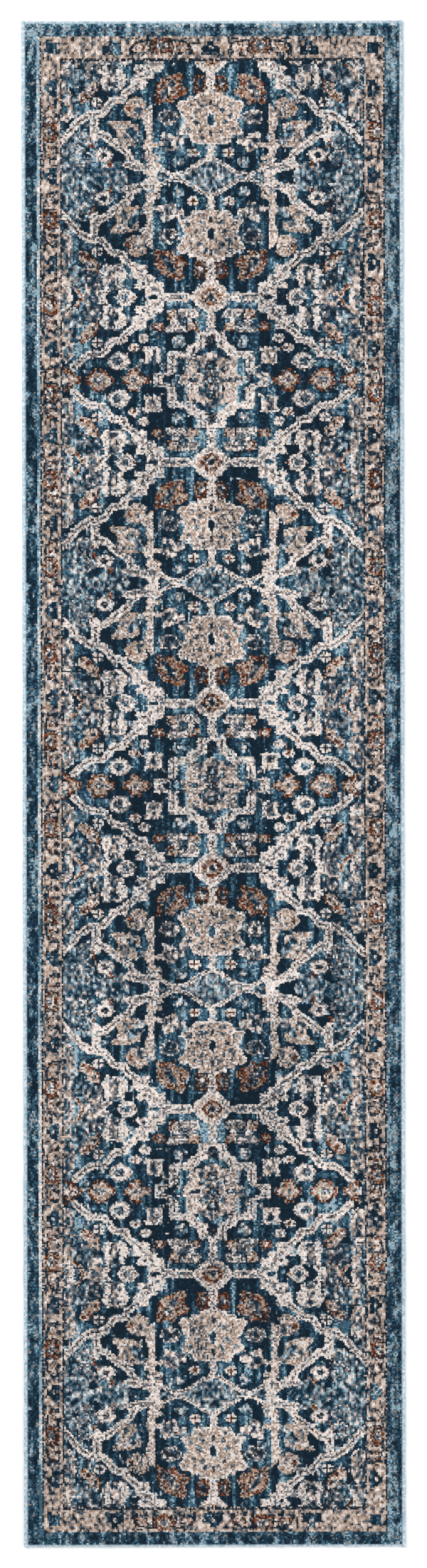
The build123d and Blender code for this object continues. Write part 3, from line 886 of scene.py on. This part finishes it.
field_sections = 5
section = np.clip(row * field_sections // tufts_along, 0, field_sections - 1)
section_of_face = np.where(
    tuft_piece[row, column] == pieces.index("pile_navy_field"),
    len(pieces) + section, tuft_piece[row, column],
)
cut_names = pieces + [f"pile_navy_field_{number + 1}" for number in range(field_sections)]
CUT_MARK = "cut_mark_"
for name in cut_names:
    cloth.data.materials.append(bpy.data.materials.new(CUT_MARK + name))
cloth.data.polygons.foreach_set("material_index", section_of_face.astype(np.int32))
bpy.ops.object.mode_set(mode="EDIT")
bpy.ops.mesh.separate(type="MATERIAL")
bpy.ops.object.mode_set(mode="OBJECT")
cut_cloths = [o for o in bpy.context.selected_objects if o.type == "MESH"]
print("pieces cut:", len(cut_cloths))

# %% Tables of how corners and tips lie
valley_depth = 1.5
corner_shape = (tufts_along + 1, tufts_across + 1)
corner_z = -valley_depth + chance.normal(0, 0.22, corner_shape)
corner_x = chance.normal(0, 0.22, corner_shape)
corner_y = chance.normal(0, 0.22, corner_shape)
corner_x[:, [0, -1]] = 0
corner_y[[0, -1], :] = 0
tip_z = np.clip(-0.35 + chance.normal(0, 0.3, tuft_x.shape), -1.1, 0.1)
tip_x = chance.normal(0, 0.38, tuft_x.shape)
tip_y = chance.normal(0, 0.38, tuft_x.shape)


def solo(item):
    """Selects one object alone and makes it active."""
    bpy.ops.object.select_all(action="DESELECT")
    item.select_set(True)
    bpy.context.view_layer.objects.active = item


def coordinates(mesh):
    """A mesh's vertices as rows of x, y and z."""
    flat = np.zeros(len(mesh.vertices) * 3)
    mesh.vertices.foreach_get("co", flat)
    return flat.reshape(-1, 3)


def face_outwards():
    """Turns every face of the mesh being edited outwards, and leaves edit mode."""
    bpy.ops.mesh.select_all(action="SELECT")
    bpy.ops.mesh.normals_make_consistent(inside=False)
    bpy.ops.object.mode_set(mode="OBJECT")


def move_to(item, place):
    """Puts an object's vertices at new places."""
    item.data.vertices.foreach_set("co", place.ravel())
    item.data.update()


def raise_tufts(item):
    """Extrudes a flat piece of pile, pokes its top, and shapes corners and tips by place."""
    solo(item)
    bpy.ops.object.mode_set(mode="EDIT")
    bpy.ops.mesh.select_all(action="SELECT")
    bpy.ops.mesh.extrude_region_move(
        TRANSFORM_OT_translate={"value": (0, 0, pile_top - pile_foot)}
    )
    bpy.ops.mesh.poke()
    face_outwards()
    place = coordinates(item.data)
    grid_x = (place[:, 0] + cloth_width / 2) / (pitch_x * MM)
    grid_y = (place[:, 1] + cloth_length / 2) / (pitch_y * MM)
    is_tip = np.abs(grid_x - np.round(grid_x)) > 0.25
    is_top = place[:, 2] > (pile_foot + pile_top) / 2
    c, r = np.round(grid_x[~is_tip]).astype(int), np.round(grid_y[~is_tip]).astype(int)
    place[~is_tip, 0] += corner_x[r, c] * MM
    place[~is_tip, 1] += corner_y[r, c] * MM
    place[~is_tip, 2] += np.where(is_top[~is_tip], corner_z[r, c], 0) * MM
    c, r = grid_x[is_tip].astype(int), grid_y[is_tip].astype(int)
    place[is_tip, 0] += tip_x[r, c] * MM
    place[is_tip, 1] += tip_y[r, c] * MM
    place[is_tip, 2] += tip_z[r, c] * MM
    move_to(item, place)


def dress_in_yarn(item):
    """Gives a piece the yarns that its tufts name."""
    mesh = item.data
    numbers = np.zeros(len(mesh.polygons), np.int32)
    mesh.attributes["tuft_yarn"].data.foreach_get("value", numbers)
    used, slots = np.unique(numbers, return_inverse=True)
    mesh.materials.clear()
    for number in used:
        mesh.materials.append(pile_yarns[number])
    mesh.polygons.foreach_set("material_index", slots.astype(np.int32))
    mesh.attributes.remove(mesh.attributes["tuft_yarn"])


# %% [markdown]
# ## A map for each piece
# Long narrow pieces waste a square map, so each piece is folded into strips that lie side by side,
# like a fire hose in its box. Tops get nearly all of the square. Walls and undersides, which only
# show at a cut, share a thin strip at its foot.

# %% Folded maps
MAP_NAME = "OFBake"
foot_strip = 0.03


def fold_map(item):
    """Maps a flat piece onto the unit square in side-by-side strips."""
    mesh = item.data
    place = coordinates(mesh)
    low, high = place.min(0), place.max(0)
    wide, long, thick = high - low
    strips = max(1, round(math.sqrt(long / wide)))
    rows = math.ceil(long / (pitch_y * MM) / strips)
    strip_long = max(rows * pitch_y * MM, long / strips)
    face_total, loop_total = len(mesh.polygons), len(mesh.loops)
    middle, normal = np.zeros(face_total * 3), np.zeros(face_total * 3)
    mesh.polygons.foreach_get("center", middle)
    mesh.polygons.foreach_get("normal", normal)
    starts, corner_vertex = np.zeros(face_total, int), np.zeros(loop_total, int)
    mesh.polygons.foreach_get("loop_total", starts)
    mesh.loops.foreach_get("vertex_index", corner_vertex)
    owner = np.repeat(np.arange(face_total), starts)
    at = place[corner_vertex] - low
    strip = np.clip(((middle[1::3] - low[1]) / strip_long).astype(int), 0, strips - 1)[owner]
    along = np.clip((at[:, 1] - strip * strip_long) / strip_long, 0, 1)
    across = at[:, 0] / wide
    on_top = (normal[2::3] > 0.15)[owner]
    lift = at[:, 2] / thick
    v_top = foot_strip + (1 - foot_strip) * along
    v_foot = foot_strip * (0.1 + 0.6 * along + 0.25 * lift)
    across_foot = 0.985 * across + 0.012 * lift
    u = (strip + np.where(on_top, across, across_foot)) / strips
    v = np.where(on_top, v_top, v_foot)
    layer = mesh.uv_layers.new(name=MAP_NAME)
    layer.data.foreach_set("uv", np.stack([u, v], 1).ravel())
    return strips


# %% Raise, dress and map every piece of pile
triangles = 0
for item in cut_cloths:
    name = item.data.materials[item.data.polygons[0].material_index].name[len(CUT_MARK):]
    node = "pile_navy_field" if name.startswith("pile_navy_field") else name
    item.name = name + "_tufts"
    item.data.name = item.name
    raise_tufts(item)
    dress_in_yarn(item)
    fold_map(item)
    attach(item, "root")
    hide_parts(node)
    count = sum(len(p.vertices) - 2 for p in item.data.polygons)
    triangles += count
    print(f"{item.name}: {count} triangles")
print("pile triangles:", triangles)

# %% [markdown]
# ## Serged edges
# The cut edge of the cloth is bound by a thread sewn round and round a cord. It reads as a row of
# fine ribs. One wrap is modelled, from a circle of twelve points, and an array repeats it. Then the
# round tube is pressed into the edge's real section: flat against the cloth, round outside.

# %% Serging yarn
wrap_pitch = 2.0 * MM


def serging_yarn():
    """Texturised polyester thread: pale blue, with a soft shine along each wrap, and blotches of painted
    highlight and painted shade in its colour.
    """
    material, shader = new_material("texturised_polyester_serging", "#A9BBC6", 0.5)
    shader.inputs["Sheen Weight"].default_value = 0.2
    shader.inputs["Sheen Roughness"].default_value = 0.4
    painted_light_blotches = noise(material, 4 * MM, 4.0, Roughness=0.7)
    # Painted highlight and painted shade: the blotches run the thread's pale blue from dark blue up to
    # near white.
    ramp = add_node(material, "ShaderNodeValToRGB", [("Fac", painted_light_blotches)])
    for position, colour in ((0.3, "#6F8CA0"), (0.46, "#9CB4C2"), (0.58, "#C3D3DC"), (0.72, "#E6EEF2")):
        stop = ramp.color_ramp.elements.new(position)
        stop.color = linear(colour)
    ramp.color_ramp.elements[0].color = linear("#5B7A90")
    ramp.color_ramp.elements[-1].color = linear("#F0F5F7")
    join(material, ramp.outputs["Color"], shader.inputs["Base Color"])
    roughen(material, shader, noise(material, 0.5 * MM, 2.0), 0.4, 0.2 * MM)
    return material


serging_thread = serging_yarn()

# %% One wrap, repeated along each edge
section_points = 12
wrap_swell = 1.12
corner_squareness = 0.62


def wrap_edge(name, along_y, side, seed):
    """A serged edge that fills its node's box."""
    low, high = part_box(name)
    size = high - low
    long, wide, tall = (size.y, size.x, size.z) if along_y else (size.x, size.y, size.z)
    wraps = round(long / wrap_pitch)
    pitch = long / wraps
    bpy.ops.object.select_all(action="DESELECT")
    bpy.ops.mesh.primitive_circle_add(
        vertices=section_points, radius=1, location=(0, 0, 0), rotation=(math.pi / 2, 0, 0)
    )
    edge = bpy.context.object
    bpy.ops.object.transform_apply(location=True, rotation=True, scale=True)
    bpy.ops.object.mode_set(mode="EDIT")
    for swell in (wrap_swell, 1 / wrap_swell):
        bpy.ops.mesh.extrude_region_move(TRANSFORM_OT_translate={"value": (0, pitch / 2, 0)})
        bpy.ops.transform.resize(value=(swell, 1, swell))
    bpy.ops.object.mode_set(mode="OBJECT")
    repeat_wraps = edge.modifiers.new("wraps", "ARRAY")
    repeat_wraps.count = wraps
    repeat_wraps.use_relative_offset = False
    repeat_wraps.use_constant_offset = True
    repeat_wraps.constant_offset_displace = (0, pitch, 0)
    repeat_wraps.use_merge_vertices = True
    repeat_wraps.merge_threshold = pitch / 20
    bpy.ops.object.modifier_apply(modifier="wraps")
    bpy.ops.object.mode_set(mode="EDIT")
    bpy.ops.mesh.select_all(action="DESELECT")
    bpy.ops.mesh.select_non_manifold(extend=False, use_wire=False, use_multi_face=False,
                                     use_non_contiguous=False, use_verts=False)
    bpy.ops.mesh.edge_face_add()
    face_outwards()
    press_section(edge, wide, tall, long, side, seed)
    if along_y:
        close_ends(edge, tall, long)
        shift = Matrix.Translation(((low.x + high.x) / 2, low.y, low.z))
    else:
        shift = Matrix.Translation((low.x, (low.y + high.y) / 2, low.z)) @ Matrix(
            ((0, 1, 0, 0), (1, 0, 0, 0), (0, 0, 1, 0), (0, 0, 0, 1))
        )
    edge.data.transform(shift)
    if not along_y:
        edge.data.flip_normals()
    edge.data.polygons.foreach_set("use_smooth", [True] * len(edge.data.polygons))
    edge.name = name + "_wraps"
    edge.data.materials.append(serging_thread)
    fold_map_tube(edge, along_y)
    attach(edge, "root")
    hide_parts(name)
    print(f"{edge.name}: {wraps} wraps, pitch {pitch / MM:.2f} mm")
    return edge


def press_section(edge, wide, tall, long, side, seed):
    """Presses a ribbed tube of radius 1 into an edge's section, and lets its wraps lie unevenly."""
    place = coordinates(edge.data)
    radius = np.hypot(place[:, 0], place[:, 2])
    x, z = place[:, 0] / radius, place[:, 2] / radius
    rib = (radius - 1) / (wrap_swell - 1)
    round_x = np.sign(x) * np.abs(x) ** corner_squareness
    round_z = np.sign(z) * np.abs(z) ** corner_squareness
    flat_x = np.clip(x * 1.6, -1, 1)
    outside = x * side > 0
    rib_depth = 0.35 * MM
    uneven = np.random.default_rng(seed)
    stations = np.linspace(0, long, 160)
    bulge = np.interp(place[:, 1], stations, uneven.normal(0, 0.3 * MM, stations.size))
    half = wide / 2 - rib_depth * (1 - rib)
    pressed_x = np.where(outside, round_x * (half + bulge), flat_x * (wide / 2))
    pressed_z = tall / 2 + round_z * (tall / 2 - rib_depth * (1 - rib) / 2)
    pressed_z += np.where(round_z > 0, bulge * 0.5, 0)
    lean = 0.5 * MM * x * np.clip(np.minimum(place[:, 1], long - place[:, 1]) / (4 * MM), 0, 1)
    move_to(edge, np.stack([pressed_x, place[:, 1] + lean, np.maximum(pressed_z, 0)], 1))


def close_ends(edge, tall, long):
    """Draws the last wrap in over the end of the cord, and a little past it."""
    drawn_in = 0.8
    past_cord = 0.4 * MM
    place = coordinates(edge.data)
    for end, way in ((0, -1), (long, 1)):
        last = np.abs(place[:, 1] - end) < 0.2 * MM
        place[last, 0] *= drawn_in
        place[last, 2] = tall / 2 + (place[last, 2] - tall / 2) * drawn_in
        place[last, 1] = end + way * past_cord
    move_to(edge, place)


def fold_map_tube(edge, along_y):
    """Maps a tube: round it one way, folded strips along it the other."""
    mesh = edge.data
    place = coordinates(mesh)
    if not along_y:
        place = place[:, [1, 0, 2]]
    low, high = place.min(0), place.max(0)
    middle_x, middle_z = (low[0] + high[0]) / 2, (low[2] + high[2]) / 2
    starts, corner_vertex = np.zeros(len(mesh.polygons), int), np.zeros(len(mesh.loops), int)
    mesh.polygons.foreach_get("loop_total", starts)
    mesh.loops.foreach_get("vertex_index", corner_vertex)
    owner = np.repeat(np.arange(len(mesh.polygons)), starts)
    first = np.concatenate([[0], np.cumsum(starts)[:-1]])
    at = place[corner_vertex]
    turn = np.arctan2(at[:, 2] - middle_z, at[:, 0] - middle_x) / (2 * math.pi) + 0.5
    turn_of_first = turn[first][owner]
    turn = turn - np.round(turn - turn_of_first)
    least = np.minimum.reduceat(turn, first)[owner]
    turn = np.where(least < 0, turn + 1, turn)
    turn = np.clip(turn / (1 + 1 / section_points), 0, 1)
    strips = 12
    strip_long = (high[1] - low[1]) / strips
    middle = np.add.reduceat(at[:, 1], first) / starts
    strip = np.clip(((middle - low[1]) / strip_long).astype(int), 0, strips - 1)[owner]
    along = np.clip((at[:, 1] - low[1] - strip * strip_long) / strip_long, 0, 1)
    layer = mesh.uv_layers.new(name=MAP_NAME)
    layer.data.foreach_set("uv", np.stack([(strip + turn) / strips, along], 1).ravel())


edges = [
    wrap_edge("serging_left", True, -1, 31),
    wrap_edge("serging_right", True, 1, 32),
    wrap_edge("serging_near_end", False, -1, 33),
    wrap_edge("serging_far_end", False, 1, 34),
]

# %% [markdown]
# ## Latex back
# Underneath, a thin coat of latex holds the weave. It is brushed on and it dries matt, so the jute
# wefts still show through as ribs. The ribs are modelled, because the back is seen on its own when
# the rug is turned over.

# %% Ribbed back
rib_pitch = 5.0 * MM
rib_height = 0.16 * MM


def latex():
    """Latex over jute: matt, warm brown-grey, with painted shade darker between the wefts, and a fine
    cross weave.
    """
    material, shader = new_material("latex_coated_jute_back", "#A8916F", 0.82)
    place = add_node(material, "ShaderNodeTexCoord")
    ribs = add_node(
        material, "ShaderNodeTexWave", [("Vector", place.outputs["Object"])],
        bands_direction="Y", Scale=2 * math.pi / 20 / rib_pitch, Distortion=0.6, Detail=1.0,
        Detail_Scale=2.0,
    )
    threads = add_node(
        material, "ShaderNodeTexWave", [("Vector", place.outputs["Object"])],
        bands_direction="X", Scale=2 * math.pi / 20 / (2.5 * MM), Distortion=1.0, Detail=1.0,
    )
    patches = noise(material, 60 * MM, 5.0)
    woven = add_node(
        material, "ShaderNodeMath", [(0, ribs.outputs["Fac"]), (1, threads.outputs["Fac"])],
        operation="MULTIPLY",
    )
    mixed = add_node(
        material, "ShaderNodeMath", [(0, woven.outputs[0]), (1, patches)],
        operation="ADD",
    )
    # Painted shade: the weave's grooves take the dark stop, so the latex is darker between the wefts and
    # threads.
    two_tone(material, shader, mixed.outputs[0], (0.25, "#6E5B43"), (1.0, "#C9B491"))
    roughen(material, shader, woven.outputs[0], 0.6, 0.3 * MM)
    return material


rib_steps = int(cloth_length / rib_pitch) * 2
bpy.ops.object.select_all(action="DESELECT")
bpy.ops.mesh.primitive_grid_add(x_subdivisions=24, y_subdivisions=rib_steps, size=1)
back = bpy.context.object
back.data.transform(Matrix.Diagonal((cloth_width, cloth_length, 1, 1)))
back_thickness = cloth_high.z - cloth_low.z
bpy.ops.object.mode_set(mode="EDIT")
bpy.ops.mesh.select_all(action="SELECT")
bpy.ops.mesh.extrude_region_move(TRANSFORM_OT_translate={"value": (0, 0, back_thickness)})
face_outwards()
place = coordinates(back.data)
station = np.round((place[:, 1] + cloth_length / 2) / (cloth_length / rib_steps)).astype(int)
groove = (place[:, 2] < back_thickness / 2) & (station % 2 == 1)
place[groove, 2] += rib_height
move_to(back, place)
back.name = "latex_back_coating_ribbed"
back.data.materials.append(latex())
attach(back, "root")
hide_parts("latex_back_coating")
print(f"back: {rib_steps // 2} ribs")

# %% [markdown]
# ## Hidden yarns and cords
# The wefts, the stiff warps and the cords stay as the frame has them, because nothing of them shows
# but a glimpse. They still get the finish of what they are.


# %% Jute, polyester and cotton
def spun_yarn(name, dark, light, roughness, fibre):
    """Spun yarn: matt, with fine fibres that run light and dark."""
    material, shader = new_material(name, light, roughness)
    fibres = noise(material, fibre, 4.0)
    two_tone(material, shader, fibres, (0.3, dark), (0.7, light))
    roughen(material, shader, fibres, 0.5, 0.2 * MM)
    return material


jute = spun_yarn("spun_jute_weft", "#7A5F3E", "#BFA273", 0.85, 1.2 * MM)
warp_yarn = spun_yarn("flat_polyester_warp", "#BDB9AE", "#E2DFD6", 0.7, 0.8 * MM)
cotton = spun_yarn("twisted_cotton_cord", "#B5AE9E", "#DDD8CB", 0.85, 0.8 * MM)
hidden = {
    "lower_wefts": jute, "upper_wefts": jute, "stuffer_warps": warp_yarn,
    "edge_cord_left": cotton, "edge_cord_right": cotton,
    "edge_cord_near_end": cotton, "edge_cord_far_end": cotton,
}
for name, material in hidden.items():
    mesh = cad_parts[name].data
    mesh.materials.clear()
    mesh.materials.append(material)

# %% [markdown]
# ## Yarn ends
# Where the serging starts and stops at a corner, the thread's end is left lying on the edge. It is
# drawn out from a small circle, a step at a time, so that it bends and thins towards its tip.

# %% Four yarn ends
end_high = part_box("serging_yarn_ends")[1]
end_radius = 0.8 * MM
end_steps = 9


def yarn_end(side, end, turns):
    """A thread's end at one corner, drawn out along the edge."""
    start = (side * (end_high.x - end_radius), end * end_high.y, end_high.z - end_radius)
    bpy.ops.object.select_all(action="DESELECT")
    bpy.ops.mesh.primitive_circle_add(
        vertices=8, radius=end_radius * 0.8, fill_type="NGON", location=start,
        rotation=(math.pi / 2, 0, 0),
    )
    thread = bpy.context.object
    bpy.ops.object.transform_apply(location=True, rotation=True, scale=True)
    bpy.ops.object.mode_set(mode="EDIT")
    for step in range(end_steps):
        bend = math.sin(step / end_steps * math.pi * turns) * 0.5 * MM
        bpy.ops.mesh.extrude_region_move(
            TRANSFORM_OT_translate={"value": (bend, -end * 1.0 * MM, 0)}
        )
        bpy.ops.transform.resize(value=(0.94, 1, 0.94))
    face_outwards()
    return thread


threads = [yarn_end(side, end, turns) for side, end, turns in
           ((-1, -1, 1.5), (-1, 1, 2.3), (1, -1, 1.9), (1, 1, 1.2))]
bpy.ops.object.select_all(action="DESELECT")
for thread in threads:
    thread.select_set(True)
bpy.context.view_layer.objects.active = threads[0]
bpy.ops.object.join()
yarn_ends = threads[0]
yarn_ends.name = "serging_yarn_ends_drawn"
yarn_ends.data.materials.append(serging_thread)
bpy.ops.object.transform_apply(location=True, rotation=True, scale=True)
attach(yarn_ends, "root")
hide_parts("serging_yarn_ends")

# %% [markdown]
# ## The size
# The frame's box and the finished rug's box are both printed for a look. The finished rug has to
# fill the frame's box and no more than a little besides.

# %% Sizes of the frame and the finished rug
visual_low, visual_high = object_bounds()
visual_box = [list(visual_low), list(visual_high)]
for label, box in (("frame", cad_box), ("finished", visual_box)):
    print(label, [[round(value, 4) for value in corner] for corner in box])
